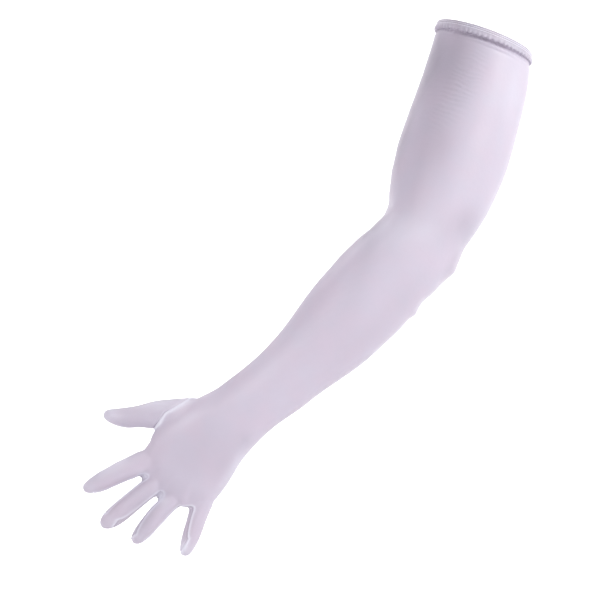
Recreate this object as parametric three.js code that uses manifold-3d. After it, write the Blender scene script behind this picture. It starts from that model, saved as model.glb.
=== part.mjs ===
// A long glove of stretch satin for the left hand, in the form that it has when worn.
// Millimetres. +X is the photo's right, +Y points away from the camera and +Z is up.
// The origin is the middle of the arm opening, and the glove runs down to the fingertips.

import * as THREE from 'three';
import { mergeVertices } from 'three/addons/utils/BufferGeometryUtils.js';
import Module from 'manifold-3d';

const wasm = await Module();
wasm.setup();

// Driving dimensions
const wall = 1.2;
const seamGap = 0.3;
const armSides = 24;
const fingerSides = 12;
const hemHeight = 8.5;
const hemBulge = 1.8;
const hemInset = 1.9;
const fourchetteRoot = 5.8;
const fourchetteTip = 2.6;
const throughDepth = 400;
const outreach = 30;
const cornerReach = 1.5;
const weld = 1e-4;
const satinColor = 0xe2d9ea;
const stripColor = 0xece6f2;

const up = new THREE.Vector3(0, 1, 0);

// Sections from the arm opening to the finger roots: the middle, the width between the two
// edges, the front-to-back depth, the turn of the width about Y in degrees, and how square
// the section is, where 2 is an ellipse.
const armRows = [
  { name: 'mouth', x: 0, y: 0, z: 0, wide: 88, deep: 90, turn: -20, square: 2 },
  { name: 'hem foot', x: -2, y: -0.8, z: -10, wide: 89, deep: 91, turn: -19, square: 2 },
  { name: 'upper arm', x: -9.5, y: -3.6, z: -44, wide: 94.5, deep: 95, turn: -15, square: 2 },
  { name: 'upper arm', x: -22, y: -9, z: -81, wide: 98, deep: 97, turn: -15, square: 2 },
  { name: 'upper arm', x: -32, y: -17, z: -114, wide: 98, deep: 95, turn: -13, square: 2 },
  { name: 'above elbow', x: -42, y: -25, z: -145, wide: 91, deep: 90, turn: -12, square: 2 },
  { name: 'inner elbow', x: -50.5, y: -31, z: -167, wide: 80, deep: 84, turn: -18, square: 2 },
  { name: 'elbow point', x: -62, y: -35.5, z: -186, wide: 80.5, deep: 78, turn: -31, square: 2.1 },
  { name: 'below elbow', x: -73, y: -40, z: -199, wide: 82, deep: 74, turn: -34, square: 2.1 },
  { name: 'forearm', x: -89, y: -45, z: -212, wide: 82, deep: 72, turn: -35, square: 2.1 },
  { name: 'forearm', x: -106, y: -50, z: -230, wide: 83, deep: 70, turn: -36, square: 2.1 },
  { name: 'forearm', x: -124, y: -56, z: -249, wide: 80, deep: 66, turn: -34, square: 2.1 },
  { name: 'forearm', x: -142, y: -61, z: -270, wide: 73, deep: 61, turn: -33, square: 2.1 },
  { name: 'forearm', x: -161, y: -65, z: -288, wide: 65.5, deep: 55, turn: -35, square: 2.1 },
  { name: 'forearm', x: -180, y: -69, z: -304, wide: 60, deep: 49, turn: -39, square: 2.2 },
  { name: 'above wrist', x: -196, y: -71, z: -316, wide: 58, deep: 44, turn: -43, square: 2.2 },
  { name: 'wrist', x: -211, y: -72, z: -328, wide: 57, deep: 40, turn: -47, square: 2.3 },
  { name: 'heel of hand', x: -224, y: -72, z: -339, wide: 60, deep: 37, turn: -51, square: 2.4 },
  { name: 'palm', x: -237, y: -72, z: -349, wide: 66, deep: 35, turn: -54, square: 2.5 },
  { name: 'palm', x: -249, y: -72, z: -361, wide: 74, deep: 32, turn: -53, square: 2.5 },
  { name: 'palm', x: -261, y: -72, z: -372, wide: 80.5, deep: 29, turn: -49, square: 2.5 },
  { name: 'knuckles', x: -270.5, y: -72, z: -385.5, wide: 79, deep: 26, turn: -45, square: 2.5 },
  { name: 'knuckles', x: -278, y: -72, z: -397, wide: 68, deep: 23, turn: -40, square: 2.4 },
  { name: 'finger roots', x: -283.5, y: -71, z: -404, wide: 46, deep: 18, turn: -36, square: 2.2 },
];

// Sections from each finger's root inside the hand to its tip. The width lies square to the
// finger in the XZ plane.
const thumbRows = [
  { x: -247, y: -69, z: -341, wide: 37, deep: 29 },
  { x: -266, y: -67, z: -335.5, wide: 29.5, deep: 26 },
  { x: -283, y: -65.5, z: -335.5, wide: 27, deep: 23.5 },
  { x: -296, y: -64.5, z: -337.5, wide: 22.5, deep: 21 },
  { x: -306, y: -64, z: -338, wide: 17.5, deep: 19 },
  { x: -317, y: -63.5, z: -338.5, wide: 16.5, deep: 18 },
  { x: -326.5, y: -62.5, z: -338, wide: 14, deep: 16 },
  { x: -333, y: -61.5, z: -336.5, wide: 10, deep: 12 },
  { x: -337, y: -61, z: -335, wide: 4.5, deep: 6 },
];
const indexRows = [
  { x: -284, y: -71, z: -373, wide: 22, deep: 20 },
  { x: -299, y: -71, z: -378.5, wide: 23, deep: 19 },
  { x: -310, y: -71.5, z: -382, wide: 20, deep: 17.5 },
  { x: -323, y: -72, z: -387, wide: 18, deep: 16.5 },
  { x: -335, y: -71.5, z: -392.5, wide: 16.5, deep: 16 },
  { x: -344, y: -70, z: -397, wide: 14, deep: 14.5 },
  { x: -350.5, y: -68.5, z: -399.5, wide: 9.5, deep: 11 },
  { x: -354.5, y: -67.5, z: -401, wide: 4.5, deep: 5 },
];
const middleRows = [
  { x: -279.5, y: -71.5, z: -386, wide: 21, deep: 20 },
  { x: -297, y: -72.5, z: -400, wide: 17, deep: 18.5 },
  { x: -308.5, y: -73.5, z: -409, wide: 16.5, deep: 17.5 },
  { x: -320.5, y: -73.5, z: -418.5, wide: 15.5, deep: 16.5 },
  { x: -328, y: -72, z: -425, wide: 15, deep: 16 },
  { x: -334, y: -70.5, z: -429, wide: 12, deep: 13 },
  { x: -338.5, y: -69, z: -432, wide: 5, deep: 6 },
];
const ringRows = [
  { x: -267.5, y: -71.5, z: -394.5, wide: 20, deep: 19 },
  { x: -281.5, y: -72.5, z: -413, wide: 16, deep: 17.5 },
  { x: -290, y: -73, z: -422, wide: 14.5, deep: 16.5 },
  { x: -297, y: -72.5, z: -431, wide: 13.5, deep: 15.5 },
  { x: -303.5, y: -71, z: -438.5, wide: 12.5, deep: 14.5 },
  { x: -308, y: -69.5, z: -443.5, wide: 9.5, deep: 11.5 },
  { x: -311, y: -68.5, z: -446.5, wide: 4.5, deep: 6 },
];
const littleRows = [
  { x: -246.5, y: -71, z: -401.5, wide: 18.5, deep: 17 },
  { x: -254.5, y: -71.5, z: -420, wide: 16.5, deep: 16 },
  { x: -257.5, y: -71.5, z: -429.5, wide: 15.5, deep: 15 },
  { x: -260.5, y: -71, z: -440, wide: 14, deep: 14 },
  { x: -263.5, y: -70, z: -450, wide: 11, deep: 12.5 },
  { x: -265.5, y: -69, z: -455, wide: 8, deep: 9.5 },
  { x: -267.5, y: -68, z: -458, wide: 4, deep: 5 },
];

// Places on the hand, in the XZ plane, where its cuts and seams meet
const crotch = {
  thumb: [-297, -351.5],
  indexMiddle: [-302, -391.5],
  middleRing: [-288.5, -407.5],
  ringLittle: [-267.5, -416],
};
const elbowCut = { upper: [-118, -158], lower: [0, -208] };
const wristCut = { upper: [-246, -291], lower: [-174, -367] };
const thumbSeamTop = [-240, -308];
const thumbSeamBend = [-284, -333.5];
const indexEdge = [-312, -362];
const littleEdge = [-238, -426];

// Far points past the glove's outline, where the shapes that share it out meet
const beyond = {
  thumbTop: [-252, -290],
  thumbLeft: [-375, -290],
  thumbIndex: [-375, -370],
  indexMiddle: [-375, -434],
  middleRing: [-352, -470],
  ringLittle: [-295, -490],
  little: [-225, -490],
  palm: [-190, -440],
  upperSleeve: [[-118, 60], [90, 60], [90, -208]],
  lowerSleeve: [[0, -420], [-174, -420]],
};

// A smooth run of values through the rows, with extra rows between them
function between(rows, key, place) {
  const last = rows.length - 1;
  const i = Math.min(Math.floor(place), last - 1);
  const t = place - i;
  const before = rows[Math.max(i - 1, 0)][key];
  const start = rows[i][key];
  const end = rows[i + 1][key];
  const after = rows[Math.min(i + 2, last)][key];
  const slopeIn = (end - before) / 2;
  const slopeOut = (after - start) / 2;
  const bow = 2 * (start - end) + slopeIn + slopeOut;
  const lean = 3 * (end - start) - 2 * slopeIn - slopeOut;
  return ((bow * t + lean) * t + slopeIn) * t + start;
}

function smoothRows(rows, steps) {
  const keys = ['x', 'y', 'z', 'wide', 'deep', 'turn', 'square'];
  const result = [];
  for (let i = 0; i <= (rows.length - 1) * steps; i += 1) {
    const row = {};
    for (const key of keys) {
      row[key] = between(rows, key, i / steps);
    }
    result.push(row);
  }
  return result;
}

// The rows with the directions of their width, depth and run worked out
function framed(rows) {
  return rows.map((row, i) => {
    const centre = new THREE.Vector3(row.x, row.y, row.z);
    const ahead = rows[Math.min(i + 1, rows.length - 1)];
    const behind = rows[Math.max(i - 1, 0)];
    const run = new THREE.Vector3(ahead.x - behind.x, ahead.y - behind.y, ahead.z - behind.z);
    run.normalize();
    const across = new THREE.Vector3().crossVectors(run, up).normalize();
    if (row.turn !== undefined) {
      const turn = THREE.MathUtils.degToRad(row.turn);
      across.set(Math.cos(turn), 0, Math.sin(turn));
    }
    const inward = new THREE.Vector3().crossVectors(across, run).normalize();
    return { ...row, centre, run, across, inward };
  });
}

// One point on a section's outline, moved out by grow and along the run by shift
function outlinePoint(row, angle, grow, shift) {
  const square = row.square ?? 2;
  const c = Math.cos(angle);
  const s = Math.sin(angle);
  const alongWidth = Math.sign(c) * Math.abs(c) ** (2 / square) * (row.wide / 2 + grow);
  const alongDepth = Math.sign(s) * Math.abs(s) ** (2 / square) * (row.deep / 2 + grow);
  return row.centre
    .clone()
    .addScaledVector(row.across, alongWidth)
    .addScaledVector(row.inward, alongDepth)
    .addScaledVector(row.run, shift);
}

function geometryOf(points, triangles) {
  const geometry = new THREE.BufferGeometry().setFromPoints(points);
  geometry.setIndex(triangles);
  return geometry;
}

// A closed skin through the outlines of all rows, with a fan over each end
function loft(rows, sides) {
  const points = [];
  for (const row of rows) {
    for (let i = 0; i < sides; i += 1) {
      points.push(outlinePoint(row, (i / sides) * Math.PI * 2, 0, 0));
    }
  }
  const lastRing = (rows.length - 1) * sides;
  const firstCentre = points.length;
  const lastCentre = firstCentre + 1;
  points.push(rows[0].centre, rows[rows.length - 1].centre);
  const triangles = [];
  for (let ring = 0; ring < lastRing; ring += sides) {
    for (let i = 0; i < sides; i += 1) {
      const a = ring + i;
      const b = ring + ((i + 1) % sides);
      triangles.push(a, b + sides, b, a, a + sides, b + sides);
    }
  }
  for (let i = 0; i < sides; i += 1) {
    const next = (i + 1) % sides;
    triangles.push(firstCentre, i, next);
    triangles.push(lastCentre, lastRing + next, lastRing + i);
  }
  return geometryOf(points, triangles);
}

// The same skin drawn in by the wall, square to its surface
function drawnIn(geometry, distance) {
  const inner = geometry.clone();
  inner.computeVertexNormals();
  const place = inner.getAttribute('position');
  const normal = inner.getAttribute('normal');
  for (let i = 0; i < place.count; i += 1) {
    place.setXYZ(
      i,
      place.getX(i) - normal.getX(i) * distance,
      place.getY(i) - normal.getY(i) * distance,
      place.getZ(i) - normal.getZ(i) * distance,
    );
  }
  return inner;
}

function solidOf(geometry) {
  const bare = geometry.clone();
  bare.deleteAttribute('normal');
  bare.deleteAttribute('uv');
  const merged = mergeVertices(bare, weld);
  const mesh = new wasm.Mesh({
    numProp: 3,
    vertProperties: new Float32Array(merged.getAttribute('position').array),
    triVerts: new Uint32Array(merged.getIndex().array),
  });
  return new wasm.Manifold(mesh);
}

function joined(solids) {
  return solids.reduce((sum, solid) => sum.add(solid));
}

// A block over a shape drawn in the XZ plane, right through the glove along Y
function block(corners) {
  const shape = new THREE.Shape(corners.map(([x, z]) => new THREE.Vector2(x, z)));
  const geometry = new THREE.ExtrudeGeometry(shape, { depth: throughDepth, bevelEnabled: false });
  geometry.rotateX(Math.PI / 2);
  geometry.translate(0, throughDepth / 2, 0);
  return solidOf(geometry);
}

// A plate as thick as the seam gap, standing on the line between two places
function seamPlate(from, to) {
  const length = Math.hypot(to[0] - from[0], to[1] - from[1]);
  const geometry = new THREE.BoxGeometry(length + seamGap, throughDepth, seamGap);
  geometry.rotateY(-Math.atan2(to[1] - from[1], to[0] - from[0]));
  geometry.translate((from[0] + to[0]) / 2, 0, (from[1] + to[1]) / 2);
  return solidOf(geometry);
}

// A box about a section's plane, from one distance along its run to another
function slice(row, from, to) {
  const geometry = new THREE.BoxGeometry(throughDepth, throughDepth, to - from);
  geometry.translate(0, 0, (from + to) / 2);
  const turn = new THREE.Matrix4().makeBasis(row.inward, row.across, row.run);
  geometry.applyMatrix4(turn.setPosition(row.centre));
  return solidOf(geometry);
}

// The turned hem's own section: how far out from the sleeve's face, and how far down from the rim
const hemOutline = [
  { out: 0.8, down: 0 },
  { out: 1.5, down: 0.7 },
  { out: hemBulge, down: 2.4 },
  { out: hemBulge, down: hemHeight - 2.6 },
  { out: 1.2, down: hemHeight - 0.5 },
  { out: 0.4, down: hemHeight },
  { out: -1.1, down: hemHeight },
  { out: -hemInset, down: hemHeight - 1.2 },
  { out: -hemInset, down: 1.2 },
  { out: -1, down: 0 },
];

// A closed band round a section, from an outline that lies across its wall
function band(row, outline, sides) {
  const points = [];
  for (let i = 0; i < sides; i += 1) {
    for (const { out, down } of outline) {
      points.push(outlinePoint(row, (i / sides) * Math.PI * 2, out, down));
    }
  }
  const size = outline.length;
  const triangles = [];
  for (let i = 0; i < sides; i += 1) {
    for (let j = 0; j < size; j += 1) {
      const a = i * size + j;
      const b = i * size + ((j + 1) % size);
      const c = ((i + 1) % sides) * size + ((j + 1) % size);
      const d = ((i + 1) % sides) * size + j;
      triangles.push(a, b, c, a, c, d);
    }
  }
  return geometryOf(points, triangles);
}

// A side strip runs from the tip of one finger, round the crotch, to the tip of the next. Each
// half is cut from the wall by a wedge between the finger's middle line and the gap beside it.
const strips = [
  {
    name: 'fourchette_index_middle',
    root: [-294, -386],
    gap: [-345, -415],
    sides: [
      { base: [-303, -380.5], end: [-346, -398] },
      { base: [-295, -398.5], end: [-331, -427] },
    ],
  },
  {
    name: 'fourchette_middle_ring',
    root: [-281, -398],
    gap: [-327, -447],
    sides: [
      { base: [-292, -396], end: [-331, -427] },
      { base: [-277, -407], end: [-305, -440.5] },
    ],
  },
  {
    name: 'fourchette_ring_little',
    root: [-264, -406],
    gap: [-285, -458],
    sides: [
      { base: [-274, -403], end: [-305, -440.5] },
      { base: [-251, -413.5], end: [-264.5, -452.5] },
    ],
  },
];
const stripRoot = { y: -72, half: fourchetteRoot };
const stripEnd = { y: -70.5, half: fourchetteTip };

// A six-faced solid over four corners in the XZ plane, each with its own depth and half thickness
function wedge(corners, grow) {
  const flat = corners.map(({ at }) => new THREE.Vector2(...at));
  const middle = new THREE.Vector2();
  for (const corner of flat) {
    middle.addScaledVector(corner, 1 / flat.length);
  }
  const order = [0, 1, 2, 3];
  if (THREE.ShapeUtils.isClockWise(flat)) {
    order.reverse();
  }
  const points = [];
  for (const side of [-1, 1]) {
    for (const i of order) {
      const away = flat[i].clone().sub(middle).setLength(grow * cornerReach);
      const y = corners[i].y + side * (corners[i].half + grow);
      points.push(new THREE.Vector3(flat[i].x + away.x, y, flat[i].y + away.y));
    }
  }
  const triangles = [0, 1, 2, 0, 2, 3, 4, 6, 5, 4, 7, 6];
  for (let i = 0; i < 4; i += 1) {
    const next = (i + 1) % 4;
    triangles.push(i, i + 4, next, next, i + 4, next + 4);
  }
  return solidOf(geometryOf(points, triangles));
}

function stripCutter(strip, grow) {
  const halves = strip.sides.map(({ base, end }) => [
    { at: strip.root, ...stripRoot },
    { at: base, ...stripRoot },
    { at: end, ...stripEnd },
    { at: strip.gap, ...stripEnd },
  ]);
  return joined(halves.map((corners) => wedge(corners, grow)));
}

// The whole glove as one hollow shell
const arm = framed(smoothRows(armRows, 2));
const mouth = arm[0];
const pastMouth = { ...mouth, centre: mouth.centre.clone().addScaledVector(mouth.run, -outreach) };
const fingers = [thumbRows, indexRows, middleRows, ringRows, littleRows].map(framed);
const fingerSkins = fingers.map((rows) => loft(rows, fingerSides));
const outside = joined([loft(arm, armSides), ...fingerSkins].map(solidOf));
const innerSkins = [loft([pastMouth, ...arm], armSides), ...fingerSkins];
const inside = joined(innerSkins.map((skin) => solidOf(drawnIn(skin, wall))));
const shell = outside.subtract(inside);

// What the seams between the nodes take away
const seams = joined([
  seamPlate(elbowCut.upper, elbowCut.lower),
  seamPlate(wristCut.upper, wristCut.lower),
  seamPlate(thumbSeamTop, thumbSeamBend),
  seamPlate(thumbSeamBend, crotch.thumb),
  seamPlate(indexEdge, crotch.indexMiddle),
  seamPlate(crotch.indexMiddle, crotch.middleRing),
  seamPlate(crotch.middleRing, crotch.ringLittle),
  seamPlate(crotch.ringLittle, littleEdge),
]);
const cloth = shell
  .subtract(seams)
  .subtract(slice(mouth, -outreach, hemHeight + seamGap))
  .subtract(joined(strips.map((strip) => stripCutter(strip, seamGap))));

// The part of the glove that each node takes, as a shape in the XZ plane
const regions = {
  upper_sleeve: [elbowCut.upper, ...beyond.upperSleeve, elbowCut.lower],
  lower_sleeve: [wristCut.upper, elbowCut.upper, elbowCut.lower, ...beyond.lowerSleeve, wristCut.lower],
  hand: [
    wristCut.upper,
    wristCut.lower,
    beyond.palm,
    littleEdge,
    crotch.ringLittle,
    crotch.middleRing,
    crotch.indexMiddle,
    indexEdge,
    crotch.thumb,
    thumbSeamBend,
    thumbSeamTop,
  ],
  thumb: [
    thumbSeamTop,
    thumbSeamBend,
    crotch.thumb,
    beyond.thumbIndex,
    beyond.thumbLeft,
    beyond.thumbTop,
  ],
  index_finger: [crotch.indexMiddle, indexEdge, beyond.thumbIndex, beyond.indexMiddle],
  middle_finger: [crotch.middleRing, crotch.indexMiddle, beyond.indexMiddle, beyond.middleRing],
  ring_finger: [crotch.ringLittle, crotch.middleRing, beyond.middleRing, beyond.ringLittle],
  little_finger: [littleEdge, crotch.ringLittle, beyond.ringLittle, beyond.little],
};

function meshOf(name, solid, color) {
  const { vertProperties, triVerts } = solid.getMesh();
  const geometry = new THREE.BufferGeometry();
  geometry.setAttribute('position', new THREE.Float32BufferAttribute(vertProperties, 3));
  geometry.setIndex(Array.from(triVerts));
  const material = new THREE.MeshStandardMaterial({ color, roughness: 0.45, metalness: 0 });
  const mesh = new THREE.Mesh(geometry, material);
  mesh.name = name;
  return mesh;
}

const glove = new THREE.Group();
glove.add(meshOf('rolled_hem', solidOf(band(mouth, hemOutline, armSides)), satinColor));
for (const [name, corners] of Object.entries(regions)) {
  glove.add(meshOf(name, cloth.intersect(block(corners)), satinColor));
}
for (const strip of strips) {
  glove.add(meshOf(strip.name, shell.intersect(stripCutter(strip, 0)), stripColor));
}

export default glove;
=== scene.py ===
import math
from collections import namedtuple

import bpy
import numpy as np
from mathutils import Matrix, Vector, noise
from mathutils.kdtree import KDTree


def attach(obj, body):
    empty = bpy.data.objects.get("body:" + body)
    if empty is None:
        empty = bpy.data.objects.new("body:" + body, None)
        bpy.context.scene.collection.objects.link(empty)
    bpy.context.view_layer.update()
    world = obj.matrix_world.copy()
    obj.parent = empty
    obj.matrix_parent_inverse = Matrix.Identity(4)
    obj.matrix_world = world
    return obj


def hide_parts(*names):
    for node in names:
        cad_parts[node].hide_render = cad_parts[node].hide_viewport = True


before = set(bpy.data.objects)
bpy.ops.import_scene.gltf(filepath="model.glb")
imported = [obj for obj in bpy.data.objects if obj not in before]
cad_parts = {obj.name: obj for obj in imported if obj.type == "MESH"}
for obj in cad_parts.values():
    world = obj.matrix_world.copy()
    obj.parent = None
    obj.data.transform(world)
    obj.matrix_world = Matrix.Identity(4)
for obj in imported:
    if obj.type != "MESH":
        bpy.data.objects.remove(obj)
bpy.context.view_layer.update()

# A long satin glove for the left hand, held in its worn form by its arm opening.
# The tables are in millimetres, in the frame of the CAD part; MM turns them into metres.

MM = 0.001

Section = namedtuple("Section", "x y z wide deep turn")
Ring = namedtuple("Ring", "centre across depthwise normal wide deep")
Strip = namedtuple("Strip", "name root gap first second front lean")
Hill = namedtuple("Hill", "name x z along across turn height side")
Band = namedtuple("Band", "middle reach height")

# The cloth: its wall, the grain and the smoothing passes of the skin that it is made from, and the
# height and the grain of its unevenness
WALL = 1.2
VOXEL = 1.9
SMOOTHINGS = 14
SMOOTHING_STEPS = (0.5, -0.51)
UNEVEN_HEIGHT = 0.35
UNEVEN_GRAIN = 26
# The share of the inner face's faces that the cloth of the whole glove keeps, and the angle in
# degrees above which an edge is shaded sharp
INNER_SHARE = 0.6
SHARP_ANGLE = 55
# The sides of the arm's tube and of the fingers'
ARM_SIDES = 24
FINGER_SIDES = 16
# How far the arm runs on above the rim, and how far below the rim the skin is cut open
RIM_REACH = 14
MOUTH_DOWN = 3
# The seams: how deep and how far the cloth sinks into them, what the ridge beside them still raises
# there, and how closely the faces round them are halved
SEAM_DEPTH = 0.55
SEAM_REACH = 0.5
RIDGE_TAIL = 0.03
STRIP_FINENESS = (2.4, 1.1)
THUMB_FINENESS = (3.6, 1.6)
# How wide the ridge is and where the highlight painted beside the seam is strongest, as shares of
# its distance from the seam. Then the height above which an open edge is the mouth's and no seam
RIDGE_WIDTH = 0.55
SHINE_PLACE = 1.1
SEAMS_BELOW = -50
# The margins round an outline, for the faces that a cut goes through and for those inside it
CUT_MARGIN = 3
INSIDE_MARGIN = 0.01
# The strips between the fingers, at the root and the gap: how deep they lie and how far they reach
# backwards
STRIP_Y = (-72, -70.5)
STRIP_BACK = (5.8, 3.6)
# The hem: the radius of the ring that it is pressed from and of that ring's tube, its height, half
# its thickness, the width across it, the number of its gathers and the power that squares its roll
HEM_RING = (44, 4)
HEM_HEIGHT = 8.5
HEM_HALF = 1.85
HEM_WIDTH = 89
HEM_GATHERS = 61
HEM_SQUARE = 0.7
# Where the hem's lower half starts to work loose, over what distance, how far it flares and how
# far its gathers hang; and how high the gathers are at its top and what they gain below
HEM_LOOSE = (3, 4)
HEM_FLARE = 0.6
HEM_HANG = 0.6
HEM_SWELL = (0.04, 0.34)
# Both rows of the hem's stitching: how far down from its top edge, and how far out from half its
# thickness; then how far and how deep the thread pinches, and the stitch's length, width and depth
STITCH_ROWS = ((1.9, -0.6), (3.6, -0.42))
STITCH_PINCH = (0.55, 0.7)
STITCH_PITCH = 2.2
STITCH_SIZE = (2.7, 0.75, 0.5)
# The bands round the sleeve below the hem: how far down from the rim, how far to both sides of
# that, and the height; the faces are halved down to HALVED_TO, and the gathers reach GATHERED_TO
HALVED_TO = 17
GATHERED_TO = 20
TUCK = Band(9.5, 2.1, -1)
GATHERED = Band(9, 3.5, 0.32)
FOLD_RIDGE = Band(12.9, 1.3, 0.9)
FOLD_CREASE = Band(15.4, 1.2, -0.7)
# The same across the front view: where the tuck is deeper, and where the fold shows
DEEPER_TUCK = Band(5, 24, 1.2)
FOLD_SHOWS = Band(2, 20, 1)

# Sections from the arm opening to the finger roots: the middle, the width between the edges,
# the front-to-back depth, and the width's turn about Y in degrees
ARM = [
    Section(0, 0, 0, 88, 90, -20),
    Section(-2, -0.8, -10, 89, 91, -19),
    Section(-9.5, -3.6, -44, 94.5, 95, -15),
    Section(-22, -9, -81, 98, 97, -15),
    Section(-32, -17, -114, 98, 95, -13),
    Section(-42, -25, -145, 91, 90, -12),
    Section(-50.5, -31, -167, 80, 84, -18),
    Section(-62, -35.5, -186, 80.5, 78, -31),
    Section(-73, -40, -199, 82, 74, -34),
    Section(-89, -45, -212, 82, 72, -35),
    Section(-106, -50, -230, 83, 70, -36),
    Section(-124, -56, -249, 80, 66, -34),
    Section(-142, -61, -270, 73, 61, -33),
    Section(-161, -65, -288, 65.5, 55, -35),
    Section(-180, -69, -304, 60, 49, -39),
    Section(-196, -71, -316, 58, 44, -43),
    Section(-211, -72, -328, 57, 40, -47),
    Section(-224, -72, -339, 60, 37.5, -51),
    Section(-237, -72, -349, 66, 35.5, -54),
    Section(-249, -72, -361, 74, 33, -53),
    Section(-261, -72, -372, 80.5, 30, -49),
    Section(-270.5, -72, -385.5, 79, 27, -45),
    Section(-278, -72, -397, 68, 24, -40),
    Section(-283.5, -71, -404, 46, 19, -36),
]
# Sections from each finger's root inside the hand to its tip, square to the finger
FINGERS = {
    "thumb": [
        Section(-247, -69, -341, 37, 29, None),
        Section(-266, -67, -335.5, 29.5, 26, None),
        Section(-283, -65.5, -335.5, 27, 23.5, None),
        Section(-296, -64.5, -337.5, 22.5, 21, None),
        Section(-306, -64, -338, 17.8, 19, None),
        Section(-317, -63.5, -338.7, 18, 18.5, None),
        Section(-326.5, -62.5, -338.6, 15.3, 17, None),
        Section(-333.5, -61.5, -337, 11.6, 13, None),
        Section(-338.2, -61, -335.6, 6, 7, None),
    ],
    "index": [
        Section(-284, -71, -373, 22, 20, None),
        Section(-299, -71, -378.5, 23, 19, None),
        Section(-310.6, -71.5, -380.5, 20.2, 18, None),
        Section(-323.2, -72, -386.3, 18.4, 17, None),
        Section(-335, -71.5, -392.2, 17.4, 16.8, None),
        Section(-344, -70, -396.8, 15.5, 15.6, None),
        Section(-351, -68.5, -399.6, 11.6, 12.4, None),
        Section(-355.4, -67.5, -401.3, 6, 6.5, None),
    ],
    "middle": [
        Section(-279.5, -71.5, -386, 21, 20, None),
        Section(-297.2, -72.5, -399.5, 17.6, 19, None),
        Section(-308.7, -73.5, -408.6, 18, 18.5, None),
        Section(-320.5, -73.5, -418.5, 18, 17.8, None),
        Section(-328.2, -72, -425.1, 17.6, 17.4, None),
        Section(-334.6, -70.5, -429.6, 14.6, 15, None),
        Section(-339.6, -69, -433, 7.5, 8, None),
    ],
    "ring": [
        Section(-267.5, -71.5, -394.5, 20, 19, None),
        Section(-281.2, -72.5, -413.3, 17.4, 18, None),
        Section(-290, -73, -422, 16.8, 17.4, None),
        Section(-297, -72.5, -431, 16, 16.6, None),
        Section(-303.6, -71, -438.7, 15.1, 15.6, None),
        Section(-308.5, -69.5, -444.2, 12, 13, None),
        Section(-311.9, -68.5, -447.8, 6.6, 7.5, None),
    ],
    "little": [
        Section(-246.5, -71, -401.5, 18.5, 17, None),
        Section(-254.5, -71.5, -420, 17.8, 16.6, None),
        Section(-257, -71.5, -429.5, 16.4, 16, None),
        Section(-260.5, -71, -440, 16.6, 15.4, None),
        Section(-264.4, -70, -450.2, 13.8, 14, None),
        Section(-266.6, -69, -455.4, 10.6, 11, None),
        Section(-268.4, -68, -458.8, 5.8, 6.5, None),
    ],
}

# The strips between the fingers, over the front view: the root and the gap give the way they run,
# the base, end and tip of both sides bound them, the front gives how far they reach forward at the
# root and the gap, and the lean widens them to one side
STRIPS = [
    Strip(
        name="index_middle",
        root=(-294, -386),
        gap=(-345, -415),
        first=((-303, -380.5), (-330, -389.5), (-349, -406.8)),
        second=((-295, -398.5), (-311, -410.5), (-339, -422.3)),
        front=(3.5, 3.2),
        lean=-0.18,
    ),
    Strip(
        name="middle_ring",
        root=(-281, -398),
        gap=(-327, -447),
        first=((-292, -396), (-314, -413), (-332, -439)),
        second=((-277, -407), (-291, -423.5), (-314, -442.7)),
        front=(4.3, 7.4),
        lean=0.17,
    ),
    Strip(
        name="ring_little",
        root=(-264, -406),
        gap=(-285, -458),
        first=((-274, -403), (-297, -431), (-304, -453)),
        second=((-251, -413.5), (-259.5, -436), (-273, -459)),
        front=(5.0, 4.4),
        lean=-0.14,
    ),
]
# The thumb's bent seam, and the region that holds the thumb and its seam
THUMB_SEAM = [(-240, -308), (-284, -333.5), (-297, -351.5)]
THUMB_REGION = [(-240, -300), (-240, -356), (-360, -356), (-360, -300)]
# The ripples on the upper arm, over the front view: the middle, the two half-lengths, the turn;
# then the share from which the faces are halved for them, their pitch, height and slant, how far
# they drift and over what grain, and how far down from the rim and over what distance they come in
RIPPLES = (-25, -51, 36, 11, 61)
RIPPLES_HALVED = 0.2
RIPPLE_PITCH = 4.4
RIPPLE_HEIGHT = 0.3
RIPPLE_SLANT = 0.35
RIPPLE_DRIFT = 5
RIPPLE_GRAIN = 15
RIPPLES_FROM = (14, 6)
# Where the cloth's colour is painted paler, over the front view. These are mostly painted
# highlights: where the cloth shines over a fold or a seam, and where more light falls on an edge, a
# corner or the gap between fingers. In part they are the paler fingertips where the cloth is
# stretched over them. Each row holds the middle, the two half-lengths, the turn in degrees and the
# share
PAINTED_HIGHLIGHTS = [
    (-271.5, -328.8, 14, 2.3, 30, 0.55),
    (-288.5, -343.5, 7, 1.8, 57, 0.7),
    (-226, -386, 26, 5, 57, 0.45),
    (-350, -399, 6, 5, 0, 0.3),
    (-333, -428, 7, 6, 0, 0.2),
    (-306, -442, 6, 6, 0, 0.1),
    (-265, -452, 5, 7, 0, 0.3),
    (-332, -337, 9, 7, 0, 0.45),
    (-97, -170, 32, 14, 46, 0.18),
    (-288, -325, 30, 6, 8, 0.45),
    (-60, -178, 22, 14, 0, 0.2),
    (-74, -171, 34, 17, 30, 0.2),
    (23, -50, 34, 9, 78, 0.25),
    (-287.6, -407.7, 5, 5, 0, 1.0),
    (-303, -388.6, 5, 4, 0, 0.8),
    (-327, -380, 32, 4, 29, 0.5),
    (-316, -402, 16, 2.5, 40, 0.4),
    (-294, -416, 12, 2.5, 50, 0.4),
    (-262, -338, 20, 5, 35, 0.25),
    (-196, -297, 50, 9, 48, 0.16),
    (-269, -452, 4, 8, 0, 0.4),
]
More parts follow.
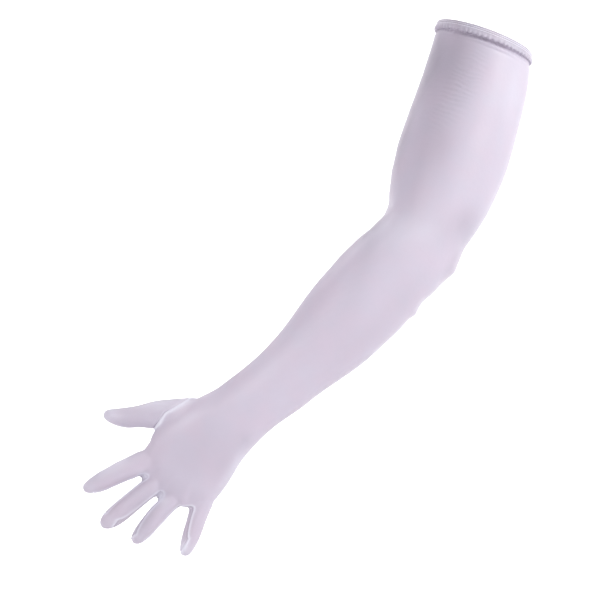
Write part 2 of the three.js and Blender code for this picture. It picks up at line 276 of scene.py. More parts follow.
# Painted shade: where the cloth's colour is painted darker for the shade that falls there. This is
# beside the elbow, on the outer side of the forearm, on the wrist, the hand and the fingers, and
# along the inner side of the upper arm, and it is a painted shadow under the hem
PAINTED_SHADES = [
    (-19, -167, 17, 13, 62, 0.34),
    (-36, -177, 18, 14, 48, 0.3),
    (-28, -198, 30, 5, 60, 0.3),
    (-106, -268, 55, 13, 42, 0.26),
    (-130, -262, 48, 18, 50, 0.14),
    (-74, -232, 20, 16, 50, 0.2),
    (-231, -380, 22, 10, 80, 0.22),
    (-215.5, -359, 9, 8, 40, 0.27),
    (-254, -370, 36, 25, 60, 0.22),
    (-308, -413, 20, 5, 42, 0.3),
    (-297, -428, 18, 5, 48, 0.22),
    (-306, -337, 20, 5, 8, 0.24),
    (-30, -19, 30, 22, 60, 0.5),
    (-38, -60, 52, 16, 70, 0.3),
    (-76, -72, 95, 8.5, 75, 1.4),
    (-50, -22, 36, 9, 75, 0.9),
    (-42, -102, 22, 13, 70, 0.22),
    (-8, -110, 45, 20, 75, 0.12),
    (-7, -4.5, 18, 2.4, -14, 0.42),
]
# Hills and hollows over the front view: the middle, the two half-lengths, the turn in degrees
# and the height along the cloth's normal
HILLS = [
    Hill("elbow point", -31.2, -210, 6, 5, 50, 1.7, "both"),
    Hill("over the elbow point", -20.6, -189.7, 8, 5, 62, -1.6, "both"),
    Hill("under the elbow point", -42, -222, 5, 3.5, 45, -0.7, "both"),
    Hill("forearm outer bump", -64.9, -248.2, 4.5, 4, 45, 1.9, "both"),
    Hill("over the forearm bump", -57, -238, 5, 4, 50, -0.9, "both"),
    Hill("inner elbow corner", -88, -150, 7, 5, 80, -1.3, "both"),
    Hill("over the inner elbow", -84, -122, 10, 6, 80, 0.9, "both"),
    Hill("upper arm inner side", -78, -96.5, 19, 8, 74, 1.3, "both"),
    Hill("upper arm outer side, high", 38, -36, 22, 10, 76, 1.0, "both"),
    Hill("upper arm outer side, middle", 29.5, -75, 36, 12, 75, 1.2, "both"),
    Hill("upper arm outer side, low", 14, -127.6, 36, 12, 67, 1.7, "both"),
    Hill("above the elbow", -3, -164, 14, 8, 55, 0.8, "both"),
    Hill("forearm outer side, high", -78, -259.5, 20, 8, 41, 1.1, "both"),
    Hill("forearm outer side, low", -109, -290, 32, 9, 41, 2.0, "both"),
    Hill("wrist outer side", -166, -331, 16, 7, 40, 1.1, "both"),
    Hill("forearm inner side, high", -114, -181, 9, 6, 43, 1.0, "both"),
    Hill("forearm inner side, low", -139, -206, 12, 6, 45, -0.6, "both"),
    Hill("below the inner elbow", -93, -161, 6, 5, 50, -0.8, "both"),
    Hill("outer edge of the hand", -228, -395, 22, 8, 57, 1.3, "both"),
    Hill("above the thumb", -253, -320.5, 10, 5, 15, 0.7, "both"),
    Hill("gap of the middle and ring", -290.5, -409, 6, 2.5, 47, -1.0, "both"),
    Hill("gap of the index and middle", -304.5, -390, 5, 2.6, 30, -1.8, "both"),
    Hill("thumb root edge", -284, -323, 22, 6, 0, -0.6, "both"),
    Hill("thumb lower side", -317, -347, 7, 4, 0, 0.5, "both"),
    Hill("elbow upper ridge", -63, -180, 26, 8, -6, 1.1, "front"),
    Hill("elbow hollow", -25, -174, 15, 10, 55, -3.4, "front"),
    Hill("elbow lower ridge", -46, -206, 15, 7, 48, 0.9, "front"),
    Hill("inner elbow crease", -77, -160, 13, 3.5, -14, -0.3, "front"),
    Hill("inner elbow crease behind", -74, -163, 16, 3.5, -10, -1.4, "back"),
    Hill("inner elbow fold behind", -70, -172, 18, 4, -14, 1.1, "back"),
    Hill("index knuckle", -288, -379, 8, 6, 30, 0.9, "front"),
    Hill("middle knuckle", -277, -390, 8, 6, 40, 0.9, "front"),
    Hill("ring knuckle", -265, -399, 8, 6, 50, 0.9, "front"),
    Hill("little knuckle", -249, -404, 7, 6, 70, 0.7, "front"),
    Hill("index and middle hollow", -295, -388, 8, 3.2, 35, -1.0, "front"),
    Hill("middle and ring hollow", -281, -400.5, 8, 3, 50, -1.0, "front"),
    Hill("ring and little hollow", -263.5, -410, 8, 3, 65, -0.9, "front"),
    Hill("thumb seam fold", -272, -329.5, 14, 2.4, 30, 1.1, "front"),
    Hill("thumb seam fold, lower", -289, -344, 7, 1.9, 57, 0.9, "front"),
    Hill("thumb back", -299, -326, 14, 5, 5, 1.6, "both"),
    Hill("web of the index", -306, -368.5, 8, 4, 34, 0.9, "both"),
    Hill("corner below the thumb", -297, -359, 4, 3, 60, -1.0, "both"),
    Hill("web of the ring and little", -268.2, -414.8, 5, 4, 20, 2.2, "both"),
    Hill("thumb joint hollow", -297, -336, 6, 5, 0, -0.7, "front"),
    Hill("thumb pad", -289, -329, 8, 4, 10, 0.6, "front"),
    Hill("thumb nail", -329, -334, 4.5, 4, 10, 0.4, "front"),
    Hill("index middle joint", -326, -380, 5, 4, 25, 0.5, "both"),
    Hill("index end joint", -341, -387.5, 3.5, 3, 25, 0.4, "both"),
    Hill("middle nail edge", -326, -421, 1.6, 3, 40, -0.35, "front"),
    Hill("ring nail edge", -300, -435, 1.6, 3, 50, -0.35, "front"),
    Hill("wrist hollow", -216, -358, 5, 4, 45, -0.7, "front"),
    Hill("wrist fold behind", -218, -336, 3, 26, 40, -0.9, "back"),
    Hill("wrist ridge behind", -222, -341, 3, 24, 40, 0.7, "back"),
    Hill("palm hollow", -262, -372, 16, 14, 0, -1.6, "back"),
    Hill("ball of the thumb", -252, -352, 16, 10, 30, 1.6, "back"),
    Hill("heel of the palm", -237, -372, 13, 9, 50, 1.2, "back"),
]

# The satin's noises, each with its scale and detail: tone patches, knit and small creases. Then the
# colours that it turns to where a highlight is painted paler and where shade is painted darker
SATIN_NOISES = ((42, 3), (1400, 1), (160, 2))
HIGHLIGHT_PAINT_COLOUR = (0.72, 0.69, 0.80)
SHADE_PAINT_COLOUR = (0.38, 0.335, 0.42)

# The studio, in metres: the round floor, how high the backdrop stands and how wide it curves
FLOOR_RADIUS = 3.4
FLOOR_Z = -0.6
BACKDROP_HEIGHT = 2.6
BACKDROP_CURVE = 0.9


def deselect():
    bpy.ops.object.select_all(action="DESELECT")


def only(piece):
    deselect()
    piece.select_set(True)
    bpy.context.view_layer.objects.active = piece


def place(section):
    return Vector((section.x, section.y, section.z)) * MM


def rings_of(sections):
    """Each section with its own square frame, its normal pointing on towards the fingertips."""
    rings = []
    for i, section in enumerate(sections):
        ahead = place(sections[min(i + 1, len(sections) - 1)])
        behind = place(sections[max(i - 1, 0)])
        run = (ahead - behind).normalized()
        if section.turn is None:
            across = run.cross(Vector((0, 1, 0))).normalized()
        else:
            turn = math.radians(section.turn)
            across = Vector((math.cos(turn), 0, math.sin(turn)))
        depthwise = run.cross(across).normalized()
        normal = across.cross(depthwise)
        size = (section.wide * MM, section.deep * MM)
        rings.append(Ring(place(section), across, depthwise, normal, *size))
    return rings


def frame_matrix(ring):
    return Matrix((ring.across, ring.depthwise, ring.normal)).transposed()


def turn_selection(rotation, centre):
    """Turn what is selected in edit mode, one world axis after the other."""
    for angle, axis in zip(rotation.to_euler("XYZ"), "XYZ"):
        bpy.ops.transform.rotate(value=-angle, orient_axis=axis, center_override=centre)


def stretch_selection(ring, across, depthwise):
    bpy.ops.transform.resize(
        value=(across, depthwise, 1),
        orient_type="GLOBAL",
        orient_matrix=(ring.across, ring.depthwise, ring.normal),
        orient_matrix_type="GLOBAL",
        center_override=ring.centre,
    )


def apply_modifier(piece, kind, **settings):
    only(piece)
    modifier = piece.modifiers.new(kind.lower(), kind)
    for key, value in settings.items():
        setattr(modifier, key, value)
    bpy.ops.object.modifier_apply(modifier=modifier.name)


def limb(name, sections, sides):
    """A closed tube: a short cylinder at the first section, drawn out from section to section."""
    rings = rings_of(sections)
    first = rings[0]
    fullness = 1 / (2 / 3 + math.cos(2 * math.pi / sides) / 3)
    deselect()
    bpy.ops.mesh.primitive_cylinder_add(vertices=sides, radius=0.5, depth=MM, location=first.centre)
    piece = bpy.context.object
    piece.name = name
    bpy.ops.object.mode_set(mode="EDIT")
    bpy.ops.mesh.select_all(action="SELECT")
    size = (first.wide * fullness, first.deep * fullness, 1)
    bpy.ops.transform.resize(value=size, center_override=first.centre)
    turn_selection(frame_matrix(first), first.centre)
    bpy.ops.mesh.select_all(action="DESELECT")
    bpy.ops.object.mode_set(mode="OBJECT")
    for face in piece.data.polygons:
        face.select = len(face.vertices) == sides and face.normal.dot(first.normal) > 0.9
    bpy.ops.object.mode_set(mode="EDIT")
    for before, after in zip(rings, rings[1:]):
        step = after.centre - before.centre
        if before is first:
            bpy.ops.transform.translate(value=step)
        else:
            bpy.ops.mesh.extrude_region_move(TRANSFORM_OT_translate={"value": step})
        turn_selection(frame_matrix(after) @ frame_matrix(before).inverted(), after.centre)
        stretch_selection(after, after.wide / before.wide, after.deep / before.deep)
    bpy.ops.object.mode_set(mode="OBJECT")
    bpy.ops.object.transform_apply(location=True, rotation=True, scale=True)
    apply_modifier(piece, "SUBSURF", levels=2, render_levels=2)
    return piece


def past_the_rim(sections):
    """The arm's sections with one more beyond the rim, so that the cut there is clean."""
    first, second = sections[0], sections[1]
    share = RIM_REACH / (first.z - second.z)
    beyond = [a + (a - b) * share for a, b in zip(first[:3], second[:3])]
    return [Section(*beyond, first.wide, first.deep, first.turn)] + sections


def glove_form():
    """The whole glove as one closed skin."""
    parts = [limb("arm", past_the_rim(ARM), ARM_SIDES)]
    for name, sections in FINGERS.items():
        parts.append(limb(name, sections, FINGER_SIDES))
    deselect()
    for part in parts:
        part.select_set(True)
    bpy.context.view_layer.objects.active = parts[0]
    bpy.ops.object.join()
    form = bpy.context.object
    form.name = "glove_form"
    apply_modifier(form, "REMESH", mode="VOXEL", voxel_size=VOXEL * MM, adaptivity=0)
    for _ in range(SMOOTHINGS):
        for factor in SMOOTHING_STEPS:
            apply_modifier(form, "SMOOTH", factor=factor, iterations=1)
    return form


def all_faces(piece):
    return np.ones(len(piece.data.polygons), dtype=bool)


def smooth_all(piece):
    for face in piece.data.polygons:
        face.use_smooth = True


def surface(piece):
    """The piece's points in millimetres, and its normals."""
    mesh = piece.data
    points = np.empty(len(mesh.vertices) * 3, dtype=np.float32)
    normals = np.empty(len(mesh.vertices) * 3, dtype=np.float32)
    mesh.vertices.foreach_get("co", points)
    mesh.vertex_normals.foreach_get("vector", normals)
    return points.reshape(-1, 3).astype(float) / MM, normals.reshape(-1, 3).astype(float)


def set_points(piece, points):
    piece.data.vertices.foreach_set("co", (points * MM).astype(np.float32).ravel())
    piece.data.update()


def middles(piece):
    """The middles of the piece's faces, in millimetres."""
    mesh = piece.data
    centres = np.empty(len(mesh.polygons) * 3, dtype=np.float32)
    mesh.polygons.foreach_get("center", centres)
    return centres.reshape(-1, 3).astype(float) / MM


def select_faces(piece, chosen):
    """Select the chosen faces alone, for edit mode."""
    mesh = piece.data
    for part in (mesh.vertices, mesh.edges):
        part.foreach_set("select", np.zeros(len(part), dtype=bool))
    mesh.polygons.foreach_set("select", np.asarray(chosen, dtype=bool))
    mesh.update()


def hill(points, x, z, along, across, turn):
    """A smooth hill over the front view, from 1 at its middle to 0 around it."""
    turned = math.radians(turn)
    dx, dz = points[:, 0] - x, points[:, 2] - z
    u = dx * math.cos(turned) + dz * math.sin(turned)
    v = -dx * math.sin(turned) + dz * math.cos(turned)
    return np.exp(-((u / along) ** 2) - (v / across) ** 2)


def swell(values, band):
    """A band's height at each value, all of it at the band's middle and none far from it."""
    return band.height * np.exp(-(((values - band.middle) / band.reach) ** 2))


def front_share(normals):
    """How much each point belongs to the front, from 0 to 1, with a soft change at the sides."""
    return np.clip(0.5 - normals[:, 1] * 1.4, 0, 1)


def uneven(points, grain):
    """A slow unevenness over the cloth, from about -1 to 1."""
    return np.array([noise.noise(Vector(p) / grain) for p in points])


def shape_by_hand(form):
    """Raise and sink the cloth where the arm, the elbow and the hand push and leave it."""
    points, normals = surface(form)
    front = front_share(normals)
    weights = {"front": front, "back": 1 - front, "both": 1}
    heights = UNEVEN_HEIGHT * uneven(points, UNEVEN_GRAIN)
    for _, *place, height, side in HILLS:
        heights += height * weights[side] * hill(points, *place)
    set_points(form, points + normals * heights[:, None])


def round_noise(turn, radius, height):
    """An unevenness that closes on itself round the arm opening."""
    return noise.noise(Vector((math.cos(turn) * radius, math.sin(turn) * radius, height)))


def hem_gather(turn):
    """How far the gathers swell at an angle round the hem, from about -1 to 1."""
    slow = round_noise(turn, 3, 0.5)
    quick = round_noise(turn, 11, 2.5)
    return (0.65 + 0.5 * quick) * math.cos(HEM_GATHERS * turn + 3.5 * slow) + 0.5 * quick


def down_the_sleeve(points):
    """How far each point lies past the rim, and its angle round the arm opening."""
    mouth = rings_of(ARM)[0]
    offsets = points - np.array(mouth.centre) / MM
    down = offsets @ np.array(mouth.normal)
    turns = np.arctan2(offsets @ np.array(mouth.depthwise), offsets @ np.array(mouth.across))
    return down, turns


def shape_sleeve_top(cloth):
    """Draw the sleeve in under the hem, with a soft fold below it and fine cross ripples."""
    centres = middles(cloth)
    down = down_the_sleeve(centres)[0]
    rippled = hill(centres, *RIPPLES) > RIPPLES_HALVED
    subdivide(cloth, (down < HALVED_TO) | (rippled & (centres[:, 1] < 0)))
    points, normals = surface(cloth)
    x, z = points[:, 0], points[:, 2]
    down, turns = down_the_sleeve(points)
    front = front_share(normals)
    heights = swell(down, TUCK) * (1 + front * swell(x, DEEPER_TUCK))
    gathers = np.zeros(len(points))
    for i in np.nonzero(down < GATHERED_TO)[0]:
        gathers[i] = hem_gather(turns[i])
    heights += gathers * swell(down, GATHERED)
    fold = front * swell(x, FOLD_SHOWS)
    heights += fold * (swell(down, FOLD_RIDGE) + swell(down, FOLD_CREASE))
    drift = RIPPLE_DRIFT * uneven(points, RIPPLE_GRAIN)
    wave = np.sin((z + RIPPLE_SLANT * x + drift) * 2 * math.pi / RIPPLE_PITCH)
    start, run_in = RIPPLES_FROM
    shown = front * hill(points, *RIPPLES) * np.clip((down - start) / run_in, 0, 1)
    heights += RIPPLE_HEIGHT * wave * shown
    set_points(cloth, points + normals * heights[:, None])


def in_region(points, corners, margin):
    """Which points lie inside the convex outline over the front view, or within the margin."""
    inside = np.ones(len(points), dtype=bool)
    centre = np.mean(corners, axis=0)
    for (x0, z0), (x1, z1) in zip(corners, corners[1:] + corners[:1]):
        out = np.array([z1 - z0, x0 - x1]) / math.hypot(x1 - x0, z1 - z0)
        if np.dot(out, centre - np.array([x0, z0])) > 0:
            out = -out
        inside &= (points[:, 0] - x0) * out[0] + (points[:, 2] - z0) * out[1] < margin
    return inside


def strip_planes(strip):
    """The front and back planes of a strip: each a point and a unit normal."""
    root, gap = strip.root, strip.gap
    run = (gap[0] - root[0], gap[1] - root[1])
    planes = []
    for side in (-1, 1):
        reach = strip.front if side < 0 else STRIP_BACK
        start = Vector((root[0], STRIP_Y[0] + side * reach[0], root[1]))
        end = Vector((gap[0], STRIP_Y[1] + side * reach[1], gap[1]))
        lean = strip.lean if side < 0 else 0
        sideways = Vector((-run[1], lean * math.hypot(*run), run[0]))
        planes.append((start, (end - start).cross(sideways).normalized() * -side))
    return planes


def wall_plane(a, b):
    """The upright plane through two places of the front view."""
    return Vector((a[0], 0, a[1])), Vector((b[1] - a[1], 0, a[0] - b[0])).normalized()


def height_over(points, plane):
    place, normal = plane
    return (points - np.array(place)) @ np.array(normal)


def strip_outline(strip):
    """The strip's outline over the front view, from one finger round to the other."""
    return [strip.first[1], strip.first[0], *strip.second, strip.first[2]]


def strip_cuts(strip):
    """All the planes that bound a strip."""
    return strip_planes(strip) + [wall_plane(*strip.first[1:]), wall_plane(*strip.second[1:])]


def subdivide(piece, chosen):
    only(piece)
    select_faces(piece, chosen)
    bpy.ops.object.mode_set(mode="EDIT")
    bpy.ops.mesh.subdivide(number_cuts=1, smoothness=0)
    bpy.ops.object.mode_set(mode="OBJECT")


def refine_near(piece, outline, planes, reaches):
    """Halve the faces near the planes, once for each reach."""
    for reach in reaches:
        centres = middles(piece)
        near = np.zeros(len(centres), dtype=bool)
        for plane in planes:
            near |= np.abs(height_over(centres, plane)) < reach
        subdivide(piece, near & in_region(centres, outline, reach))


def cut_along(piece, outline, planes):
    for place, normal in planes:
        select_faces(piece, in_region(middles(piece), outline, CUT_MARGIN))
        bpy.ops.object.mode_set(mode="EDIT")
        bpy.ops.mesh.bisect(plane_co=place * MM, plane_no=normal)
        bpy.ops.object.mode_set(mode="OBJECT")


def separate(piece, chosen, name):
    """Take the chosen faces off the piece as a piece of their own."""
    only(piece)
    select_faces(piece, chosen)
    bpy.ops.object.mode_set(mode="EDIT")
    bpy.ops.mesh.separate(type="SELECTED")
    bpy.ops.object.mode_set(mode="OBJECT")
    taken = [other for other in bpy.context.selected_objects if other is not piece][0]
    taken.name = name
    return taken


def cut_strip(cloth, strip):
    """The strip between two fingers, cut out of the cloth along its seams."""
    outline, planes = strip_outline(strip), strip_cuts(strip)
    only(cloth)
    refine_near(cloth, outline, planes, STRIP_FINENESS)
    cut_along(cloth, outline, planes)
    centres = middles(cloth)
    inside = in_region(centres, outline, INSIDE_MARGIN)
    for plane in strip_planes(strip):
        inside &= height_over(centres, plane) < 0
    return separate(cloth, inside, "fourchette_cloth_" + strip.name)


def cut_thumb(cloth):
    """The thumb's cloth, cut off along the bent seam round its root."""
    top, bend, crotch = THUMB_SEAM
    planes = [wall_plane(top, bend), wall_plane(bend, crotch)]
    only(cloth)
    refine_near(cloth, THUMB_REGION, planes, THUMB_FINENESS)
    cut_along(cloth, THUMB_REGION, planes)
    centres = middles(cloth)
    beyond = (height_over(centres, planes[0]) > 0) | (height_over(centres, planes[1]) > 0)
    beyond &= in_region(centres, THUMB_REGION, INSIDE_MARGIN)
    return separate(cloth, beyond, "thumb_cloth")


def open_mouth(form):
    """Cut the skin open inside the hem."""
    ring = rings_of(ARM)[0]
    only(form)
    select_faces(form, all_faces(form))
    bpy.ops.object.mode_set(mode="EDIT")
    place = ring.centre + ring.normal * MOUTH_DOWN * MM
    bpy.ops.mesh.bisect(plane_co=place, plane_no=ring.normal, clear_inner=True)
    bpy.ops.object.mode_set(mode="OBJECT")


def seam_tree(piece):
    """The piece's open edges below the mouth, as points to measure from."""
    mesh = piece.data
    uses = np.zeros(len(mesh.edges), dtype=int)
    loop_edges = np.empty(len(mesh.loops), dtype=int)
    mesh.loops.foreach_get("edge_index", loop_edges)
    np.add.at(uses, loop_edges, 1)
    rim = [mesh.edges[i] for i in np.nonzero(uses == 1)[0]]
    ends = [[mesh.vertices[i].co for i in edge.vertices] for edge in rim]
    places = [a.lerp(b, share) / MM for a, b in ends for share in (0, 0.5)]
    places = [place for place in places if place.z < SEAMS_BELOW]
    tree = KDTree(len(places))
    for i, place in enumerate(places):
        tree.insert(place, i)
    tree.balance()
    return tree


def sew(piece, lip, reach, shine):
    """Sink the cloth into its seam, with a ridge beside it, and note where highlight and shade are
    painted into its colour.
    """
    tree = seam_tree(piece)
    points, normals = surface(piece)
    gaps = np.array([tree.find(Vector(p))[2] for p in points])
    heights = swell(gaps, Band(reach, RIDGE_WIDTH * reach, lip))
    heights -= swell(gaps, Band(0, SEAM_REACH, SEAM_DEPTH + lip * RIDGE_TAIL))
    set_points(piece, points + normals * heights[:, None])
    # Painted highlight and painted shade, kept as point attributes: the listed patches over the
    # front, and a painted shine along the ridge beside the seam
    front = front_share(normals)
    seam_shine_painted = swell(gaps, Band(SHINE_PLACE * reach, reach, shine))
    for name, rows, more in (("paler", PAINTED_HIGHLIGHTS, seam_shine_painted), ("painted_shade_share", PAINTED_SHADES, 0)):
        shares = front * sum(share * hill(points, *place) for *place, share in rows) + more
        attribute = piece.data.attributes.new(name, "FLOAT", "POINT")
        attribute.data.foreach_set("value", np.clip(shares, 0, 1).astype(np.float32))


def give_wall(piece, keep=1.0):
    """Thicken the cloth inwards; the inner face keeps only a share of its faces."""
    inner = piece.vertex_groups.new(name="inner")
    apply_modifier(
        piece,
        "SOLIDIFY",
        thickness=WALL * MM,
        offset=-1,
        use_even_offset=False,
        use_rim=True,
        shell_vertex_group=inner.name,
    )
    if keep < 1:
        group = inner.name
        apply_modifier(piece, "DECIMATE", decimate_type="COLLAPSE", ratio=keep, vertex_group=group)
    piece.vertex_groups.clear()
    only(piece)
    bpy.ops.object.shade_smooth_by_angle(angle=math.radians(SHARP_ANGLE))


def hem_point(turn, out, down):
    """A place on the hem, in metres, out from the rim's line and down from its top edge."""
    mouth, foot = rings_of(ARM)[:2]
    share = down / (ARM[0].z - ARM[1].z)
    centre = mouth.centre.lerp(foot.centre, share)
    wide = (mouth.wide + (foot.wide - mouth.wide) * share) / 2 + out * MM
    deep = (mouth.deep + (foot.deep - mouth.deep) * share) / 2 + out * MM
    return centre + mouth.across * wide * math.cos(turn) + mouth.depthwise * deep * math.sin(turn)


def squared(share):
    """A sine or cosine with its round drawn out towards a square."""
    return math.copysign(abs(share) ** HEM_SQUARE, share)


def rolled_hem():
    """A ring, pressed into the section of a rolled hem, gathered and pinched by its stitching."""
    deselect()
    girdle, tube = (radius * MM for radius in HEM_RING)
    bpy.ops.mesh.primitive_torus_add(
        major_segments=256,
        minor_segments=32,
        major_radius=girdle,
        minor_radius=tube,
        location=(0, 0, 0),
    )
    hem = bpy.context.object
    hem.name = "hem_cloth"
    subdivide(hem, all_faces(hem))
    start, run_in = HEM_LOOSE
    gathers = {}
    for vertex in hem.data.vertices:
        turn = math.atan2(vertex.co.y, vertex.co.x)
        reach = math.hypot(vertex.co.x, vertex.co.y) - girdle
        roll = math.atan2(vertex.co.z, reach)
        key = round(turn, 4)
        if key not in gathers:
            gathers[key] = hem_gather(turn)
        gather = gathers[key]
        out = squared(math.cos(roll)) * HEM_HALF
        down = HEM_HEIGHT / 2 * (1 - squared(math.sin(roll)))
        low = min(1, max(0, (down - start) / run_in))
        outside = max(0, math.cos(roll))
        swelling = gather * (HEM_SWELL[0] + HEM_SWELL[1] * low) + HEM_FLARE * low
        pinch = sum(swell(down, Band(row, *STITCH_PINCH)) for row, _ in STITCH_ROWS)
        out += outside ** 0.5 * (swelling - pinch)
        down += low * gather * HEM_HANG
        vertex.co = hem_point(turn, out, down)
    hem.data.update()
    smooth_all(hem)
    return hem


def hem_stitches():
    """One small stitch, copied along both rows of the hem's stitching."""
    deselect()
    bpy.ops.mesh.primitive_uv_sphere_add(segments=8, ring_count=6, radius=0.5, location=(0, 0, 0))
    pattern = bpy.context.object
    pattern.data.transform(Matrix.Diagonal((*(side * MM for side in STITCH_SIZE), 1)))
    count = int(math.pi * HEM_WIDTH / STITCH_PITCH)
    down = rings_of(ARM)[0].normal
    copies = []
    for row, sunk in STITCH_ROWS:
        for i in range(count):
            turn = 2 * math.pi * i / count
            place = hem_point(turn, HEM_HALF + sunk, row)
            before, after = (hem_point(turn + step, HEM_HALF, row) for step in (-0.02, 0.02))
            along = (after - before).normalized()
            out = along.cross(down).normalized()
            frame_of = Matrix((along, out.cross(along), out)).transposed().to_4x4()
            copy = bpy.data.objects.new("stitch", pattern.data.copy())
            copy.data.transform(Matrix.Translation(place) @ frame_of)
            bpy.context.collection.objects.link(copy)
            copies.append(copy)
    bpy.data.objects.remove(pattern)
    deselect()
    for copy in copies:
        copy.select_set(True)
    bpy.context.view_layer.objects.active = copies[0]
    bpy.ops.object.join()
    stitches = bpy.context.object
    stitches.name = "hem_stitches"
    smooth_all(stitches)
    return stitches


def noise_over(nodes, links, scale, detail):
    """A noise over the piece's own space."""
    place = nodes.new("ShaderNodeTexCoord")
    texture = nodes.new("ShaderNodeTexNoise")
    texture.inputs["Scale"].default_value = scale
    texture.inputs["Detail"].default_value = detail
    links.new(place.outputs["Object"], texture.inputs["Vector"])
    return texture


def bump_of(nodes, links, texture, strength, distance):
    """The bump that a noise gives, its distance in metres."""
    bump = nodes.new("ShaderNodeBump")
    bump.inputs["Strength"].default_value = strength
    bump.inputs["Distance"].default_value = distance
    links.new(texture.outputs["Fac"], bump.inputs["Height"])
    return bump


def satin(name, base, rosy, bluish, roughness, sheen):
    """Stretch satin: a smooth knit with faint rosy and bluish patches and a soft sheen."""
    material = bpy.data.materials.new(name)
    material.use_nodes = True
    nodes, links = material.node_tree.nodes, material.node_tree.links
    shader = nodes["Principled BSDF"]
    shader.inputs["Roughness"].default_value = roughness
    shader.inputs["Sheen Weight"].default_value = sheen
    shader.inputs["Sheen Roughness"].default_value = 0.35
    shader.inputs["Sheen Tint"].default_value = (0.8, 0.9, 1, 1)
    shader.inputs["Specular IOR Level"].default_value = 0.35
    patches, knit, creases = (noise_over(nodes, links, *row) for row in SATIN_NOISES)
    tones = nodes.new("ShaderNodeValToRGB")
    tones.color_ramp.elements[0].position = 0.36
    tones.color_ramp.elements[0].color = (*bluish, 1)
    tones.color_ramp.elements[1].position = 0.64
    tones.color_ramp.elements[1].color = (*rosy, 1)
    middle = tones.color_ramp.elements.new(0.5)
    middle.color = (*base, 1)
    links.new(patches.outputs["Fac"], tones.inputs["Fac"])
    color = tones.outputs["Color"]
    # Painted highlight and painted shade: the piece's two attributes blend its colour towards a
    # paler and a darker colour
    for tone, shade in (("paler", HIGHLIGHT_PAINT_COLOUR), ("painted_shade_share", SHADE_PAINT_COLOUR)):
        share = nodes.new("ShaderNodeAttribute")
        share.attribute_name = tone
        blend = nodes.new("ShaderNodeMixRGB")
        blend.inputs["Color2"].default_value = (*shade, 1)
        links.new(share.outputs["Fac"], blend.inputs["Fac"])
        links.new(color, blend.inputs["Color1"])
        color = blend.outputs["Color"]
    links.new(color, shader.inputs["Base Color"])
    fine = bump_of(nodes, links, knit, 0.12, 0.0002)
    soft = bump_of(nodes, links, creases, 0.25, 0.0006)
    links.new(fine.outputs["Normal"], soft.inputs["Normal"])
    links.new(soft.outputs["Normal"], shader.inputs["Normal"])
    return material


def camera():
    """A long lens at the photograph's angle, level with the middle of the picture."""
    data = bpy.data.cameras.new("camera")
    data.lens = 160
    data.sensor_width = 36
    data.clip_end = 20
    eye = bpy.data.objects.new("camera", data)
    eye.location = (-0.1661, -2.4, -0.2358)
    eye.rotation_euler = (math.radians(90), 0, 0)
    bpy.context.collection.objects.link(eye)
    bpy.context.scene.camera = eye


def hang(data, location, aim, power, color):
    """Hang a lamp and point it at its aim, both in metres."""
    data.energy = power
    data.color = color
    lamp = bpy.data.objects.new(data.name, data)
    lamp.location = location
    lamp.rotation_euler = (Vector(aim) - Vector(location)).to_track_quat("-Z", "Y").to_euler()
    bpy.context.collection.objects.link(lamp)


def light(name, location, aim, size, power, color):
    """A soft square light, its size in metres."""
    data = bpy.data.lights.new(name, "AREA")
    data.size = size
    hang(data, location, aim, power, color)


def spot(name, location, aim, angle, power, color):
    """A soft round light that fades out towards its edge, its angle in degrees."""
    data = bpy.data.lights.new(name, "SPOT")
    data.spot_size = math.radians(angle)
    data.spot_blend = 1
    data.shadow_soft_size = 0.3
    hang(data, location, aim, power, color)


def studio():
    """A white floor that curves up all round, under pale air."""
    deselect()
    bpy.ops.mesh.primitive_circle_add(
        vertices=96,
        radius=FLOOR_RADIUS,
        fill_type="NGON",
        location=(0, 0, FLOOR_Z),
    )
    sweep = bpy.context.object
    sweep.name = "backdrop"
    sweep.data.edges.foreach_set("select", np.ones(len(sweep.data.edges), dtype=bool))
    bpy.ops.object.mode_set(mode="EDIT")
    bpy.ops.mesh.select_mode(type="EDGE")
    bpy.ops.mesh.select_all(action="SELECT")
    bpy.ops.mesh.extrude_edges_move(TRANSFORM_OT_translate={"value": (0, 0, BACKDROP_HEIGHT)})
    bpy.ops.mesh.select_all(action="SELECT")
    bpy.ops.mesh.normals_make_consistent(inside=True)
    bpy.ops.mesh.select_mode(type="VERT")
    bpy.ops.object.mode_set(mode="OBJECT")
    bpy.ops.object.transform_apply(location=True, rotation=True, scale=True)
    apply_modifier(sweep, "BEVEL", width=BACKDROP_CURVE, segments=16, limit_method="ANGLE")
    smooth_all(sweep)
    paper = bpy.data.materials.new("backdrop_paper")
    paper.use_nodes = True
    shader = paper.node_tree.nodes["Principled BSDF"]
    shader.inputs["Base Color"].default_value = (0.9, 0.9, 0.9, 1)
    shader.inputs["Roughness"].default_value = 1
    shader.inputs["Emission Color"].default_value = (1, 1, 1, 1)
    shader.inputs["Emission Strength"].default_value = 0.255
    sweep.data.materials.append(paper)
    air = bpy.data.worlds.new("studio_air")
    air.use_nodes = True
    air.node_tree.nodes["Background"].inputs["Color"].default_value = (0.99, 0.945, 0.985, 1)
    air.node_tree.nodes["Background"].inputs["Strength"].default_value = 0.207
    bpy.context.scene.world = air
    bpy.context.scene.view_settings.view_transform = "Standard"


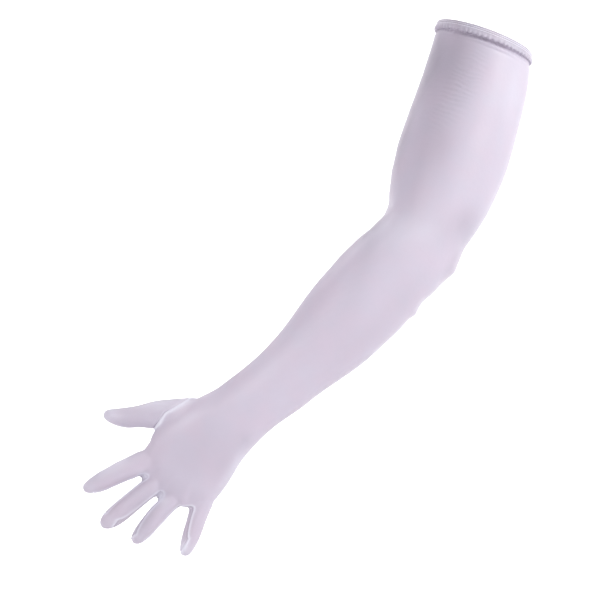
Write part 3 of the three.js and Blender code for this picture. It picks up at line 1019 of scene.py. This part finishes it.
camera()
studio()
light("key", (1.2, -0.8, 0.6), (0, 0, -0.05), 0.7, 19.1, (0.94, 1, 0.925))
light("backdrop_light", (-0.1, 1.1, 0.9), (-0.1, 3.4, -0.5), 1.6, 60, (1, 1, 1))
light("rim_light", (-0.9, 0.5, 0.9), (-0.17, -0.06, -0.24), 0.5, 4.5, (0.96, 0.97, 1))
spot("hand_light", (-0.95, -1.2, 0.35), (-0.25, -0.07, -0.32), 28, 24.5, (0.97, 1, 0.96))
spot("forearm_light", (-0.55, -0.5, 0.85), (-0.12, -0.05, -0.21), 22, 15, (0.97, 1, 0.97))

cloth = glove_form()
shape_by_hand(cloth)
open_mouth(cloth)
shape_sleeve_top(cloth)
strips = [cut_strip(cloth, strip) for strip in STRIPS]
thumb = cut_thumb(cloth)
sew(cloth, lip=0.35, reach=1.3, shine=0.8)
sew(thumb, lip=0.3, reach=1.4, shine=0.1)
for piece in strips:
    sew(piece, lip=0.15, reach=1.2, shine=0.1)
give_wall(cloth, INNER_SHARE)
for piece in strips + [thumb]:
    give_wall(piece)
cloth.name = "glove_cloth"
hem = rolled_hem()
stitches = hem_stitches()

glove_satin = satin(
    "lilac_satin",
    base=(0.547, 0.479, 0.590),
    rosy=(0.554, 0.476, 0.587),
    bluish=(0.539, 0.482, 0.593),
    roughness=0.42,
    sheen=0.09,
)
# The strips' satin is a darker copy of the glove's satin: painted shade on the finger sides that
# turn away from the light
strip_satin = satin(
    "strip_satin",
    base=(0.50, 0.44, 0.545),
    rosy=(0.51, 0.44, 0.54),
    bluish=(0.49, 0.445, 0.55),
    roughness=0.4,
    sheen=0.09,
)
# The hem's satin is a darker copy of the glove's satin: painted shade over the whole hem
hem_satin = satin(
    "hem_satin",
    base=(0.487, 0.431, 0.531),
    rosy=(0.495, 0.428, 0.527),
    bluish=(0.478, 0.435, 0.536),
    roughness=0.42,
    sheen=0.15,
)
stitch_thread = satin(
    "stitch_thread",
    base=(0.76, 0.72, 0.82),
    rosy=(0.77, 0.72, 0.81),
    bluish=(0.75, 0.72, 0.83),
    roughness=0.35,
    sheen=0.1,
)
for piece in [cloth, thumb]:
    piece.data.materials.append(glove_satin)
hem.data.materials.append(hem_satin)
for piece in strips:
    piece.data.materials.append(strip_satin)
stitches.data.materials.append(stitch_thread)

for piece in [cloth, thumb, hem, stitches] + strips:
    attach(piece, "root")
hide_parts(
    "upper_sleeve",
    "lower_sleeve",
    "hand",
    "index_finger",
    "middle_finger",
    "ring_finger",
    "little_finger",
)
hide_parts("thumb")
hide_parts("rolled_hem")
for piece, strip in zip(strips, STRIPS):
    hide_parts("fourchette_" + strip.name)
